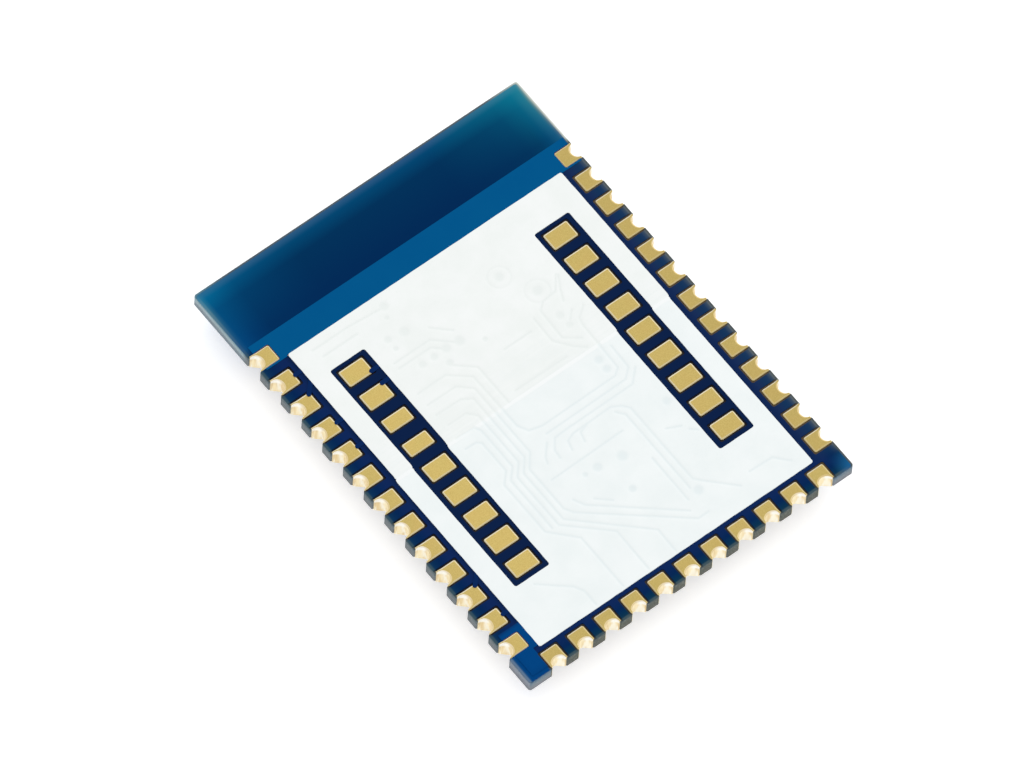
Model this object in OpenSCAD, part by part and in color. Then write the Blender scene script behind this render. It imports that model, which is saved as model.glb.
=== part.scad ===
// Castellated Bluetooth module, lying on its shield with the solder pads facing up.
// Origin: on the flat shield face that it lies on, under the middle of the board.
// +X runs across the board, +Y towards the antenna end, +Z out of the pad side.

/* [Board] */
// Width of the board across the two long castellated edges
board_w = 17.44; // [16.4:0.02:22]
// Length of the board from the castellated end to the antenna end
board_l = 23.3; // [22:0.02:30]
// Thickness of the bare glass-epoxy laminate
laminate_t = 0.69; // [0.4:0.01:1.5]
// Radius of the four board corners
corner_r = 0.12; // [0.05:0.01:0.5]
// How far the holes and the pad side's artwork lie off the cut outline, along X
drift_x = 0.065; // [-0.07:0.005:0.07]
// How far the holes and the pad side's artwork lie off the cut outline, along Y
drift_y = -0.035; // [-0.07:0.005:0.07]

/* [Castellations] */
// Distance from one pad to the next along every row
pad_pitch = 1.435; // [1.27:0.005:1.5]
// Pads along each long edge
side_count = 13; // [11:2:13]
// Least clear edge between the board's corners and the row along the castellated end
corner_keep = 1; // [0.3:0.05:2.5]
// Width of each castellated pad along its edge
pad_w = 0.88; // [0.86:0.01:1]
// Length of the pads on the long edges, from the edge inwards
side_pad_len = 1.02; // [0.7:0.01:1.2]
// Length of the pads on the castellated end, from the edge inwards
end_pad_len = 0.9; // [0.7:0.01:1]
// Length of every castellated pad on the component side
back_pad_len = 0.7; // [0.5:0.01:1]
// Finished diameter of the plated half holes
hole_d = 0.74; // [0.5:0.01:0.8]
// How far the hole centres are meant to lie outside the board edge
hole_out = 0; // [-0.05:0.01:0.1]
// Wall thickness of the plated barrels
plating_t = 0.03; // [0.02:0.002:0.04]
// Radius of the rounded lips beside each half hole
lip_r = 0.08; // [0.06:0.01:0.16]
// Radius of the pad corners
pad_r = 0.09; // [0.03:0.01:0.2]
// Distance from the castellated end to the nearest side pad's centre
end_margin = 1.892; // [1.6:0.002:2.4]

/* [Inner pads] */
// Pads in each inner column
inner_count = 9; // [5:2:9]
// Distance from each long edge to the centre line of the inner column beside it
column_inset = 3.2; // [3:0.02:4.5]
// Size of an inner pad across the board
inner_pad_x = 1.29; // [0.8:0.01:1.5]
// Size of an inner pad along the board
inner_pad_y = 0.885; // [0.7:0.005:1]
// Size along the board of the two narrow pads in the left column
narrow_pad_y = 0.73; // [0.5:0.01:0.88]

/* [Layers] */
// Thickness of the copper foil with its plating and gold finish
copper_t = 0.06; // [0.035:0.005:0.08]
// Thickness of the solder mask over copper
mask_t = 0.025; // [0.015:0.001:0.04]
// How far the mask over bare laminate stands above the copper's level
mask_fill = 0.005; // [0.003:0.001:0.012]
// Thickness of the white legend ink
ink_t = 0.02; // [0.01:0.001:0.04]
// Gap between a pad and the edge of its mask opening
mask_ring = 0.08; // [0.04:0.01:0.13]
// How far the mask is meant to stay back from the board edge
mask_edge = 0.06; // [0.06:0.01:0.12]
// How far the mask on the pad side is printed off centre, towards the left and the castellated end
mask_drift = 0.05; // [0:0.01:0.05]
// How far the copper planes stay back from the board edge
plane_inset = 0.25; // [0.24:0.01:0.4]
// Width of the lines that leave the pads
line_w = 0.15; // [0.1:0.01:0.2]

/* [Legend] */
// Gap between the side pads and the white legend block
legend_side_gap = 0.32; // [0.25:0.01:0.6]
// Gap between the end pads and the legend block
legend_end_gap = 0.28; // [0.25:0.01:0.6]
// Gap between the antenna zone and the legend block
legend_top_gap = 1.17; // [1:0.005:1.6]
// Clear margin round the inner pads in the legend
window_margin = 0.27; // [0.2:0.01:0.4]
// Distance from the castellated end to the seam between the two print passes
seam_place = 11.1; // [8:0.01:13]
// Width of the strip where the two print passes overlap
seam_w = 0.12; // [0.05:0.01:0.3]
// Extra ink where the two print passes overlap
seam_rise = 0.006; // [0.002:0.001:0.015]
// Sideways step between the two print passes
seam_step = 0.06; // [0.02:0.01:0.14]
// How far the legend is printed off the pads, towards the castellated end
legend_drift = 0.035; // [0:0.005:0.05]
// How far the legend reaches past the copper plane under it
legend_lap = 0.12; // [0.08:0.01:0.2]
// Corner radius of the legend block and its windows
legend_r = 0.1; // [0.05:0.01:0.2]

/* [Antenna] */
// Depth of the copper-free antenna zone, from the antenna end
antenna_zone = 3.4; // [2.8:0.005:3.6]
// Width of the antenna line
antenna_line = 0.45; // [0.3:0.01:0.5]
// Full turns of the meander
antenna_turns = 5; // [3:1:5]
// Gap between the antenna line and the board edge
antenna_margin = 0.5; // [0.3:0.01:0.7]
// Gap between the meander and the ground plane
antenna_lift = 0.5; // [0.3:0.01:0.8]
// Distance from the left edge to the feed line
feed_place = 4.37; // [4:0.01:5]
// Clearance beside the feed line in the ground plane
feed_gap = 0.35; // [0.2:0.01:0.5]

/* [Shield] */
// Distance from the long edges to the shield
shield_side = 2.12; // [1.8:0.01:2.2]
// Distance from the castellated end to the shield
shield_end = 2; // [1.7:0.01:2.4]
// Distance from the antenna zone to the shield
shield_top_gap = 0.9; // [0.5:0.005:1.4]
// Sheet thickness of the shield
shield_t = 0.2; // [0.1:0.01:0.25]
// Outer bend radius of the shield's folded edges
bend_r = 0.35; // [0.27:0.01:0.5]
// Side of the square relief at the shield's folded corners
corner_slit = 0.4; // [0.3:0.01:0.6]
// Clear height over the tallest part under the shield
headroom = 0.1; // [0.05:0.005:0.4]
// Leg of the solder fillet round the shield's foot
fillet = 0.18; // [0.1:0.01:0.25]
// Bare copper left beside the fillet and inside the wall
land_rim = 0.1; // [0.05:0.01:0.15]
// Copper under the mask on either side of the bare land
land_cover = 0.25; // [0.15:0.01:0.3]
// Height of the mouse hole over the feed line
mouse_h = 0.3; // [0.2:0.01:0.45]

/* [Parts under the shield] */
// Side of the square radio chip
chip_w = 7; // [5:0.1:7.4]
// Height of the radio chip's moulded body
chip_h = 0.82; // [0.6:0.01:1]
// Distance from the shield's middle to the chip's centre, towards the castellated end
chip_offset = 1.2; // [0.8:0.05:1.6]
// Contacts along each side of the radio chip
contact_count = 12; // [6:1:12]
// Spacing of the radio chip's contacts
contact_pitch = 0.5; // [0.4:0.01:0.52]
// Length of a contact under the chip
contact_l = 0.4; // [0.25:0.01:0.5]
// Side of the heat pad under the chip
heat_pad = 4.6; // [2:0.1:5.2]
// Diameter of the pin-one mark moulded into the chip
chip_mark = 0.5; // [0.3:0.05:0.8]
// Depth of the pin-one mark
chip_mark_depth = 0.03; // [0.01:0.01:0.1]
// Height of every soldered joint, from laminate to part
joint_t = 0.09; // [0.075:0.005:0.12]
// How far a joint reaches out past its terminal
joint_toe = 0.1; // [0.04:0.01:0.15]
// Length of the main crystal
main_crystal_l = 2.5; // [1.6:0.1:2.8]
// Width of the main crystal
main_crystal_w = 2; // [1.2:0.1:2.2]
// Length of the sleep-clock crystal
sleep_crystal_l = 2; // [1.2:0.1:2.2]
// Width of the sleep-clock crystal
sleep_crystal_w = 1.2; // [1:0.1:1.5]
// Height of both crystals
crystal_h = 0.55; // [0.4:0.01:0.8]
// Height of the ceramic base of both crystals
crystal_base_h = 0.32; // [0.2:0.01:0.35]
// Side of the square land under each corner of the main crystal
crystal_land = 0.6; // [0.3:0.05:0.7]
// Step from a crystal's base to its lid
lid_step = 0.12; // [0.05:0.01:0.2]
// Length of the chip capacitors and the matching inductor
small_l = 1; // [0.6:0.05:1.1]
// Width of the chip capacitors and the matching inductor
small_w = 0.5; // [0.3:0.05:0.6]
// Height of the chip capacitors and the matching inductor
small_h = 0.5; // [0.3:0.05:0.8]
// Length of the power inductor
large_l = 1.6; // [1:0.1:2]
// Width of the power inductor
large_w = 0.8; // [0.5:0.1:1.2]
// Height of the power inductor
large_h = 0.75; // [0.5:0.05:0.8]
// Length of the metal end of a chip part
terminal_l = 0.24; // [0.12:0.01:0.28]
// Gap between neighbouring parts
part_gap = 0.75; // [0.5:0.01:0.85]
// Spacing of the capacitors in a row
row_pitch = 1.4; // [1.1:0.05:1.8]
// Capacitors along each side of the chip
row_count = 4; // [2:1:4]

/* [Hidden] */
$fn = 48;
arc_steps = 6; // straight pieces in a quarter arc of an outline
past = 1;      // how far a cutting shape runs past what it cuts
lap = 0.03;    // how far the mask over copper reaches past the copper's rim
lip_bite = 0.004; // how far the lip arcs cross the hole and the board edge

// Levels, from the shield's flat face upwards
tallest = max(chip_h, crystal_h, small_h, large_h);
z_laminate = shield_t + headroom + tallest + joint_t;
shield_h = z_laminate - copper_t;
z_parts = z_laminate - joint_t;
z_front = z_laminate + laminate_t;
z_front_copper = z_front + copper_t;
z_ink = z_front_copper + mask_t;

// Pad rows
half_w = board_w / 2;
half_l = board_l / 2;
antenna_y = half_l - antenna_zone;
end_count = 1 + floor((board_w - 2 * corner_keep - pad_w) / pad_pitch); // as many pads as fit
row_low = -half_l + end_margin;
row_top = row_low + (side_count - 1) * pad_pitch;
inner_low = row_low + (side_count - inner_count) / 2 * pad_pitch;
inner_top = inner_low + (inner_count - 1) * pad_pitch;
column_x = half_w - column_inset;
narrow_pads = [inner_count - 4, inner_count - 3]; // counted from the castellated end
hole_r = hole_d / 2;
barrel_r = hole_r + plating_t;
lip_x = lip_r - lip_bite;

// Pad lengths and hole centres as they come out on each row, from the cut edge
len_left = side_pad_len + drift_x;
len_right = side_pad_len - drift_x;
len_end = end_pad_len + drift_y;
out_left = hole_out - drift_x;
out_right = hole_out + drift_x;
out_end = hole_out - drift_y;

// Pads that lines leave
straight_lines = [1, side_count - 5, side_count - 4, side_count - 2]; // left pads with a line at mid-edge
corner_lines = [2, side_count - 3]; // left pads with a line at a corner

// Legend block and its windows
legend_x = half_w - side_pad_len - legend_side_gap;
legend_low = -half_l + end_pad_len + legend_end_gap;
legend_top = antenna_y - legend_top_gap;
window_x = inner_pad_x / 2 + window_margin;
window_low = inner_low - inner_pad_y / 2 - window_margin;
window_top = inner_top + inner_pad_y / 2 + window_margin;
seam_y = -half_l + seam_place;

// Shield
shield_x = half_w - shield_side;
shield_low = -half_l + shield_end;
shield_top = antenna_y - shield_top_gap;
land_out = fillet + land_rim;
feed_x = -half_w + feed_place;
feed_slot = antenna_line / 2 + feed_gap;

// Parts under the shield
chip_y = (shield_low + shield_top) / 2 - chip_offset;
beside_chip = chip_w / 2 + part_gap + small_l / 2;
crystal_y = chip_y + chip_w / 2 + part_gap + main_crystal_w / 2;
beside_crystal = main_crystal_l / 2 + part_gap + small_l / 2;
outer_x = beside_crystal + small_l / 2 + part_gap;
match_y = crystal_y + main_crystal_w / 2 + part_gap + small_l / 2;

// Points of a quarter arc of radius r round c, from angle a
function quarter(c, r, a) = [
    for (i = [0 : arc_steps])
        let (t = a + 90 * i / arc_steps) c + r * [cos(t), sin(t)]
];

// Outline of a rectangle from lo to hi with round corners
function round_rect(lo, hi, r) = concat(
    quarter([hi.x - r, hi.y - r], r, 0),
    quarter([lo.x + r, hi.y - r], r, 90),
    quarter([lo.x + r, lo.y + r], r, 180),
    quarter([hi.x - r, lo.y + r], r, 270)
);

module rect(lo, hi) {
    translate(lo) square(hi - lo);
}

// A flat outline as a layer that reaches from z upwards by t
module layer(z, t) {
    translate([0, 0, z]) linear_extrude(t) children();
}

// Outline of the board, set in by inset
module board_outline(inset) {
    polygon(round_rect([inset - half_w, inset - half_l], [half_w - inset, half_l - inset], corner_r));
}

// The pad side's artwork, off the cut outline by its drift
module artwork() {
    translate([drift_x, drift_y]) children();
}

// Places along the cut edges, where local +X points out of the board
module at_left(i) {
    translate([-half_w, drift_y + row_low + i * pad_pitch]) rotate(180) children();
}

module at_right(i) {
    translate([half_w, drift_y + row_low + i * pad_pitch]) children();
}

module at_end(i) {
    translate([drift_x + (i - (end_count - 1) / 2) * pad_pitch, -half_l]) rotate(-90) children();
}

// Footprint of a castellated pad, grown by g, that runs out past the edge by reach
module edge_pad(len, g, reach) {
    half = pad_w / 2 + g;
    polygon(concat(
        quarter([pad_r - len - g, half - pad_r], pad_r, 90),
        quarter([pad_r - len - g, pad_r - half], pad_r, 180),
        [[reach, -half], [reach, half]]
    ));
}

// Where the lips begin beside a half hole whose centre lies outside the edge by out
function lip_start(out) = out - (out + lip_x) * barrel_r / (barrel_r + lip_x);

// Plan of a half hole with its rounded lips, narrowed by t. Its centre lies outside the edge by out.
module notch(out, t) {
    lip_y = sqrt(pow(barrel_r + lip_x, 2) - pow(out + lip_x, 2));
    difference() {
        union() {
            translate([out, 0]) circle(barrel_r - t);
            polygon([[out, 0], [-lip_x, lip_y], [past, lip_y], [past, -lip_y], [-lip_x, -lip_y]]);
        }
        for (side = [-1, 1]) translate([-lip_x, side * lip_y]) circle(lip_r + t);
    }
}

// One plated half hole: a pad on each face, joined by the half barrel. All three end at the lips.
module castellation(len, out) {
    start = lip_start(out);
    difference() {
        union() {
            layer(z_front, copper_t) edge_pad(len, 0, start);
            layer(shield_h, copper_t) edge_pad(back_pad_len, 0, start);
            layer(z_laminate, laminate_t)
                intersection() {
                    notch(out, 0);
                    rect([-pad_pitch, -pad_w / 2], [start, pad_w / 2]);
                }
        }
        layer(0, z_front_copper + past) notch(out, plating_t);
    }
}

// A line that leaves a pad at the origin and runs along -X, grown by g
module pad_line(run, g) {
    rect([-run - g, -line_w / 2 - g], [0, line_w / 2 + g]);
    circle(line_w / 2 + g);
}

// Lines that leave the left row, grown by g. They end under the legend.
module left_lines(g) {
    run = legend_side_gap + legend_lap / 3;
    for (i = straight_lines) at_left(i) translate([-len_left - lap, 0]) pad_line(run - lap, g);
    for (i = corner_lines)
        at_left(i) translate([pad_r - len_left, pad_r - pad_w / 2]) rotate(45)
            pad_line(sqrt(2) * (run + pad_r), g);
}

module castellations_left() {
    color("goldenrod") {
        for (i = [0 : side_count - 1]) at_left(i) castellation(len_left, out_left);
        layer(z_front, copper_t) left_lines(0);
    }
}

module castellations_right() {
    color("goldenrod")
        for (i = [0 : side_count - 1]) at_right(i) castellation(len_right, out_right);
}

module castellations_end() {
    color("goldenrod")
        for (i = [0 : end_count - 1]) at_end(i) castellation(len_end, out_end);
}

// Plans of all half holes as drilled
module half_holes() {
    for (i = [0 : side_count - 1]) {
        at_left(i) notch(out_left, 0);
        at_right(i) notch(out_right, 0);
    }
    for (i = [0 : end_count - 1]) at_end(i) notch(out_end, 0);
}

// The core of the board, with the half holes drilled out of its edges
module laminate() {
    color("darkkhaki")
        layer(z_laminate, laminate_t)
            difference() {
                board_outline(0);
                half_holes();
            }
}

// Footprints of one inner column, grown by g. Only the left one has narrow pads.
module inner_column(side, g) {
    for (i = [0 : inner_count - 1]) {
        narrow = side < 0 && len(search(i, narrow_pads)) > 0;
        half = [inner_pad_x / 2 + g, (narrow ? narrow_pad_y : inner_pad_y) / 2 + g];
        translate([side * column_x, inner_low + i * pad_pitch])
            polygon(round_rect(-half, half, pad_r));
    }
}

// Lines that leave the two top pads of the left column, from corners that face each other, grown by g
module inner_lines(g) {
    x = inner_pad_x / 2 - pad_r - column_x;
    corner = inner_pad_y / 2 - pad_r;
    for (y = [inner_top - corner, inner_top - pad_pitch + corner])
        translate([x, y]) rotate(180) pad_line(window_margin + legend_lap / 3 + pad_r, g);
}

module inner_pads_left() {
    color("goldenrod")
        layer(z_front, copper_t)
            artwork() {
                inner_column(-1, 0);
                inner_lines(0);
            }
}

module inner_pads_right() {
    color("goldenrod") layer(z_front, copper_t) artwork() inner_column(1, 0);
}

// The plane on the pad side, grown by g. It lies under the legend block and keeps clear of
// the pad rows, apart from the grounded pads near the antenna and in the left corner.
module front_plane(g) {
    rim = legend_lap - g;
    band_low = legend_top - rim;
    end_x = (end_count - 1) / 2 * pad_pitch + pad_w / 2 + mask_ring - g;
    difference() {
        rect([-half_w + plane_inset - g, -half_l + plane_inset - g],
            [half_w - plane_inset + g, antenna_y + g]);
        rect([-board_w, row_low + pad_pitch / 2 + g], [rim - legend_x, band_low]);
        rect([legend_x - rim, -board_l], [board_w, band_low]);
        rect([-end_x, -board_l], [board_w, legend_low + rim]);
        for (side = [-1, 1])
            translate([side * column_x, 0])
                rect([-window_x - rim, window_low - rim], [window_x + rim, window_top + rim]);
    }
}

module ground_copper() {
    color("peru")
        layer(z_front, copper_t)
            difference() {
                artwork() front_plane(0);
                pads(0, 0);
            }
}

// Footprints of all pads on the pad side, grown by g, or by g_ground where a pad is grounded
module pads(g, g_ground) {
    last = side_count - 1;
    for (i = [0 : last]) {
        at_left(i) edge_pad(len_left, i == 0 || i == last ? g_ground : g, past);
        at_right(i) edge_pad(len_right, i == last ? g_ground : g, past);
    }
    for (i = [0 : end_count - 1]) at_end(i) edge_pad(len_end, g, past);
    artwork() for (side = [-1, 1]) inner_column(side, g);
}

// Footprints of the lines that leave pads, grown by g
module lines(g) {
    left_lines(g);
    artwork() inner_lines(g);
}

// Openings in the mask on the pad side. A grounded pad's opening is the pad itself, and the
// mask on a line covers a little of the pad that the line leaves.
module pad_openings() {
    difference() {
        pads(mask_ring, 0);
        lines(lap);
    }
}

// Footprint of the mask that lies on copper
module mask_on_copper() {
    difference() {
        union() {
            artwork() front_plane(lap);
            lines(lap);
        }
        pad_openings();
    }
}

module solder_mask_pad_side() {
    color("midnightblue") {
        layer(z_front, copper_t + mask_fill)
            difference() {
                translate([-mask_drift, -mask_drift]) board_outline(mask_edge);
                half_holes();
                artwork() front_plane(0);
                pads(0, 0);
                lines(0);
                pad_openings();
            }
        layer(z_front_copper, mask_t) mask_on_copper();
    }
}

// One print pass of the white legend, from y = low to y = top, moved sideways by shift
module legend_pass(low, top, shift) {
    artwork() translate([shift, -legend_drift])
        intersection() {
            difference() {
                polygon(round_rect([-legend_x, legend_low], [legend_x, legend_top], legend_r));
                for (side = [-1, 1])
                    translate([side * column_x, 0])
                        polygon(round_rect([-window_x, window_low], [window_x, window_top], legend_r));
            }
            rect([-half_w, low], [half_w, top]);
        }
}

module lower_pass() {
    legend_pass(-half_l, seam_y + seam_w / 2, -seam_step / 2);
}

module upper_pass() {
    legend_pass(seam_y - seam_w / 2, half_l, seam_step / 2);
}

// The ink lies on the mask, which is lower past the rim of the copper plane
module legend_ink() {
    color("white") {
        layer(z_front_copper + mask_fill, mask_t - mask_fill + ink_t)
            difference() {
                union() {
                    lower_pass();
                    upper_pass();
                }
                mask_on_copper();
            }
        layer(z_ink, ink_t) lower_pass();
        layer(z_ink, ink_t) upper_pass();
        layer(z_ink, ink_t + seam_rise)
            intersection() {
                lower_pass();
                upper_pass();
            }
    }
}

// The shield's footprint, grown by g
module shield_rect(g) {
    rect([-shield_x - g, shield_low - g], [shield_x + g, shield_top + g]);
}

// The way of the feed line out of the shield, grown by g
module feed_way(g) {
    rect([feed_x - feed_slot - g, match_y], [feed_x + feed_slot + g, half_l]);
}

// Ground plane on the component side: a frame under the shield's wall, open for the feed line
module back_plane(g) {
    difference() {
        rect([-shield_x - land_out - land_cover - g, shield_low - land_out - land_cover - g],
            [shield_x + land_out + land_cover + g, antenna_y + g]);
        shield_rect(-shield_t - land_rim - land_cover - g);
        feed_way(-g);
    }
}

// Bare land under the shield's wall and its fillet
module shield_land() {
    difference() {
        shield_rect(land_out);
        shield_rect(-shield_t - land_rim);
        feed_way(0);
    }
}

module component_copper() {
    color("peru") layer(shield_h, copper_t) back_plane(0);
}

// A line of width w from a to b along an axis, with square ends
module line(a, b, w) {
    lo = [min(a.x, b.x), min(a.y, b.y)];
    hi = [max(a.x, b.x), max(a.y, b.y)];
    rect(lo - [w, w] / 2, hi + [w, w] / 2);
}

// Inverted-F antenna, grown by g: ground leg, feed line and a meander that runs to the right
module antenna(g) {
    high = half_l - antenna_margin - antenna_line / 2;
    low = antenna_y + antenna_lift + antenna_line / 2;
    leg_x = -half_w + antenna_margin + antenna_line / 2;
    step = (half_w - antenna_margin - antenna_line / 2 - feed_x) / (2 * antenna_turns);
    w = antenna_line + 2 * g;
    line([leg_x, antenna_y + antenna_line / 2], [leg_x, high], w);
    line([leg_x, high], [feed_x, high], w);
    line([feed_x, match_y + small_l / 2 + joint_toe + antenna_line / 2], [feed_x, high], w);
    for (i = [0 : antenna_turns - 1]) {
        x = feed_x + 2 * i * step;
        line([x, high], [x + step, high], w);
        line([x + step, high], [x + step, low], w);
        line([x + step, low], [x + 2 * step, low], w);
        line([x + 2 * step, low], [x + 2 * step, high], w);
    }
}

module antenna_trace() {
    color("peru") layer(shield_h, copper_t) antenna(0);
}

module solder_mask_component_side() {
    color("midnightblue") {
        layer(shield_h - mask_fill, copper_t + mask_fill)
            difference() {
                board_outline(mask_edge);
                back_plane(0);
                antenna(0);
                for (i = [0 : side_count - 1]) {
                    at_left(i) edge_pad(back_pad_len, mask_ring, past);
                    at_right(i) edge_pad(back_pad_len, mask_ring, past);
                }
                for (i = [0 : end_count - 1]) at_end(i) edge_pad(back_pad_len, mask_ring, past);
                chip_lands();
                part_lands();
            }
        layer(shield_h - mask_t, mask_t)
            difference() {
                union() {
                    back_plane(lap);
                    antenna(lap);
                }
                shield_land();
                part_lands();
            }
    }
}

// Section of the folded shield from wall to wall with its two bends, set in from the outside by inset
module fold(lo, hi, inset) {
    r = bend_r - inset;
    polygon(concat(
        quarter([lo + bend_r, bend_r], r, 180),
        quarter([hi - bend_r, bend_r], r, 270),
        [[hi - inset, shield_h + past], [lo + inset, shield_h + past]]
    ));
}

// A block with folded lower edges, inset from the shield's outside
module folded_block(inset) {
    intersection() {
        translate([0, shield_top - inset, 0]) rotate([90, 0, 0])
            linear_extrude(shield_top - shield_low - 2 * inset) fold(-shield_x, shield_x, inset);
        translate([inset - shield_x, 0, 0]) rotate([90, 0, 90])
            linear_extrude(2 * (shield_x - inset)) fold(shield_low, shield_top, inset);
    }
}

module shield_can() {
    color("silver")
        difference() {
            folded_block(0);
            folded_block(shield_t);
            layer(shield_h, 2 * past) shield_rect(past);
            for (x = [-shield_x, shield_x], y = [shield_low, shield_top])
                translate([x, y, bend_r + shield_h])
                    cube([2 * corner_slit, 2 * corner_slit, 2 * shield_h], center = true);
            layer(shield_h - mouse_h, mouse_h + past) feed_way(0);
        }
}

// Solder fillet from x = a to x = b along a wall whose outside faces local +Y
module fillet_bar(a, b) {
    translate([a, 0, shield_h]) rotate([90, 0, 90])
        linear_extrude(b - a) polygon([[0, 0], [fillet, 0], [0, -fillet]]);
}

module shield_solder() {
    side_len = (shield_top - shield_low) / 2 - corner_slit;
    end_len = shield_x - corner_slit;
    color("lightgray") {
        translate([0, shield_top]) fillet_bar(-end_len, feed_x - feed_slot);
        translate([0, shield_top]) fillet_bar(feed_x + feed_slot, end_len);
        translate([0, shield_low]) rotate(180) fillet_bar(-end_len, end_len);
        for (side = [-1, 1])
            translate([side * shield_x, (shield_low + shield_top) / 2]) rotate(-90 * side)
                fillet_bar(-side_len, side_len);
    }
}

// A soldered part of height h hangs from the joints: its outline goes down from z_parts
module part(h) {
    layer(z_parts - h, h) children();
}

module centred(l, w) {
    square([l, w], center = true);
}

module radio_chip() {
    color("dimgray")
        translate([0, chip_y])
            difference() {
                part(chip_h) centred(chip_w, chip_w);
                translate([chip_mark - chip_w / 2, chip_mark - chip_w / 2, z_parts - chip_h - past])
                    cylinder(d = chip_mark, h = chip_mark_depth + past);
            }
}

// Contacts along the four sides of the chip, and its heat pad
module chip_lands() {
    translate([0, chip_y]) {
        centred(heat_pad, heat_pad);
        for (a = [0 : 90 : 270], i = [0 : contact_count - 1])
            rotate(a)
                translate([(i - (contact_count - 1) / 2) * contact_pitch, (contact_l - chip_w) / 2])
                    centred(contact_pitch / 2, contact_l);
    }
}

module radio_chip_contacts() {
    color("gold") layer(z_parts, joint_t) chip_lands();
}

// Places of the crystals, and of the chip capacitors with their turn
module at_main_crystal() {
    translate([0, crystal_y]) children();
}

module at_sleep_crystal() {
    translate([outer_x + sleep_crystal_l / 2, crystal_y]) children();
}

module each_capacitor() {
    for (i = [0 : row_count - 1]) {
        along = (i - (row_count - 1) / 2) * row_pitch;
        for (side = [-1, 1]) translate([side * beside_chip, chip_y + along]) children();
        translate([along, chip_y - beside_chip]) rotate(90) children();
    }
    for (side = [-1, 1]) translate([side * beside_crystal, crystal_y]) children();
    for (i = [1 : row_count]) translate([feed_x + i * row_pitch, match_y]) rotate(90) children();
}

module at_matching_inductor() {
    translate([feed_x, match_y]) rotate(90) children();
}

module at_power_inductor() {
    translate([-outer_x - large_l / 2, crystal_y]) children();
}

module crystal_base(l, w) {
    part(crystal_base_h) centred(l, w);
}

module crystal_lid(l, w) {
    half = [l, w] / 2 - [lid_step, lid_step];
    translate([0, 0, z_parts - crystal_h])
        linear_extrude(crystal_h - crystal_base_h) polygon(round_rect(-half, half, lid_step));
}

module main_crystal_base() {
    color("tan") at_main_crystal() crystal_base(main_crystal_l, main_crystal_w);
}

module main_crystal_lid() {
    color("silver") at_main_crystal() crystal_lid(main_crystal_l, main_crystal_w);
}

module sleep_crystal_base() {
    color("tan") at_sleep_crystal() crystal_base(sleep_crystal_l, sleep_crystal_w);
}

module sleep_crystal_lid() {
    color("silver") at_sleep_crystal() crystal_lid(sleep_crystal_l, sleep_crystal_w);
}

// Middle and metal ends of a chip part
module chip_body(l, w, h) {
    part(h) centred(l - 2 * terminal_l, w);
}

module chip_ends(l, w, h) {
    for (side = [-1, 1])
        translate([side * (l - terminal_l) / 2, 0]) part(h) centred(terminal_l, w);
}

module capacitor_bodies() {
    color("burlywood") each_capacitor() chip_body(small_l, small_w, small_h);
}

module capacitor_terminals() {
    color("silver") each_capacitor() chip_ends(small_l, small_w, small_h);
}

module inductor_bodies() {
    color("dimgray") {
        at_matching_inductor() chip_body(small_l, small_w, small_h);
        at_power_inductor() chip_body(large_l, large_w, large_h);
    }
}

module inductor_terminals() {
    color("silver") {
        at_matching_inductor() chip_ends(small_l, small_w, small_h);
        at_power_inductor() chip_ends(large_l, large_w, large_h);
    }
}

// Soldered lands under the two ends of a part
module end_lands(l, w) {
    for (side = [-1, 1])
        translate([side * (l - terminal_l + joint_toe) / 2, 0])
            centred(terminal_l + joint_toe, w);
}

// Soldered lands under the four corners of a crystal
module corner_lands(l, w) {
    for (x = [-1, 1], y = [-1, 1])
        translate([x * (l - crystal_land), y * (w - crystal_land)] / 2)
            centred(crystal_land, crystal_land);
}

module part_lands() {
    each_capacitor() end_lands(small_l, small_w);
    at_matching_inductor() end_lands(small_l, small_w);
    at_power_inductor() end_lands(large_l, large_w);
    at_main_crystal() corner_lands(main_crystal_l, main_crystal_w);
    at_sleep_crystal() end_lands(sleep_crystal_l, sleep_crystal_w);
}

module component_joints() {
    color("lightgray") layer(z_parts, joint_t) part_lands();
}

laminate();
ground_copper();
component_copper();
antenna_trace();
castellations_left();
castellations_right();
castellations_end();
inner_pads_left();
inner_pads_right();
solder_mask_pad_side();
solder_mask_component_side();
legend_ink();
shield_can();
shield_solder();
radio_chip();
radio_chip_contacts();
main_crystal_base();
main_crystal_lid();
sleep_crystal_base();
sleep_crystal_lid();
capacitor_bodies();
capacitor_terminals();
inductor_bodies();
inductor_terminals();
component_joints();
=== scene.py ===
# Castellated module, pads up: the looks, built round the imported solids.
import math

import bmesh
import bpy
import numpy as np
from mathutils import Matrix, Vector

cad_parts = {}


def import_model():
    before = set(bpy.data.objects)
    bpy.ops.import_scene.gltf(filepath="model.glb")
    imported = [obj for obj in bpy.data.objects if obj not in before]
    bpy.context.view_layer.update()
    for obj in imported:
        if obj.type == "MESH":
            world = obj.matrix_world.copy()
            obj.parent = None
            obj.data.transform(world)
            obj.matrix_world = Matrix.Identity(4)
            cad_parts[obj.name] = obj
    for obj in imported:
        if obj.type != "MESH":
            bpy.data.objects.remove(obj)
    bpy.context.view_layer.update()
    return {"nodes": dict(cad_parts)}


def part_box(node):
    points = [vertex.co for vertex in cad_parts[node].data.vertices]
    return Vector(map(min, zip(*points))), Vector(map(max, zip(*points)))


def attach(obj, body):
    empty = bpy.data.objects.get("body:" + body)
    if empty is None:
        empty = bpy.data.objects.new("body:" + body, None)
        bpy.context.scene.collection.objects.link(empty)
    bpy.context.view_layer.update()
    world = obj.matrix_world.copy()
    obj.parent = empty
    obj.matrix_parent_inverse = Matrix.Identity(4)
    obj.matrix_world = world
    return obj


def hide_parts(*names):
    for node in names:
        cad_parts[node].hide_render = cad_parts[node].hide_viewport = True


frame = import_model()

MM = 0.001
PITCH = 1.435 * MM
NODES = frame["nodes"]


# Measures of the solids, from the frame

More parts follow.
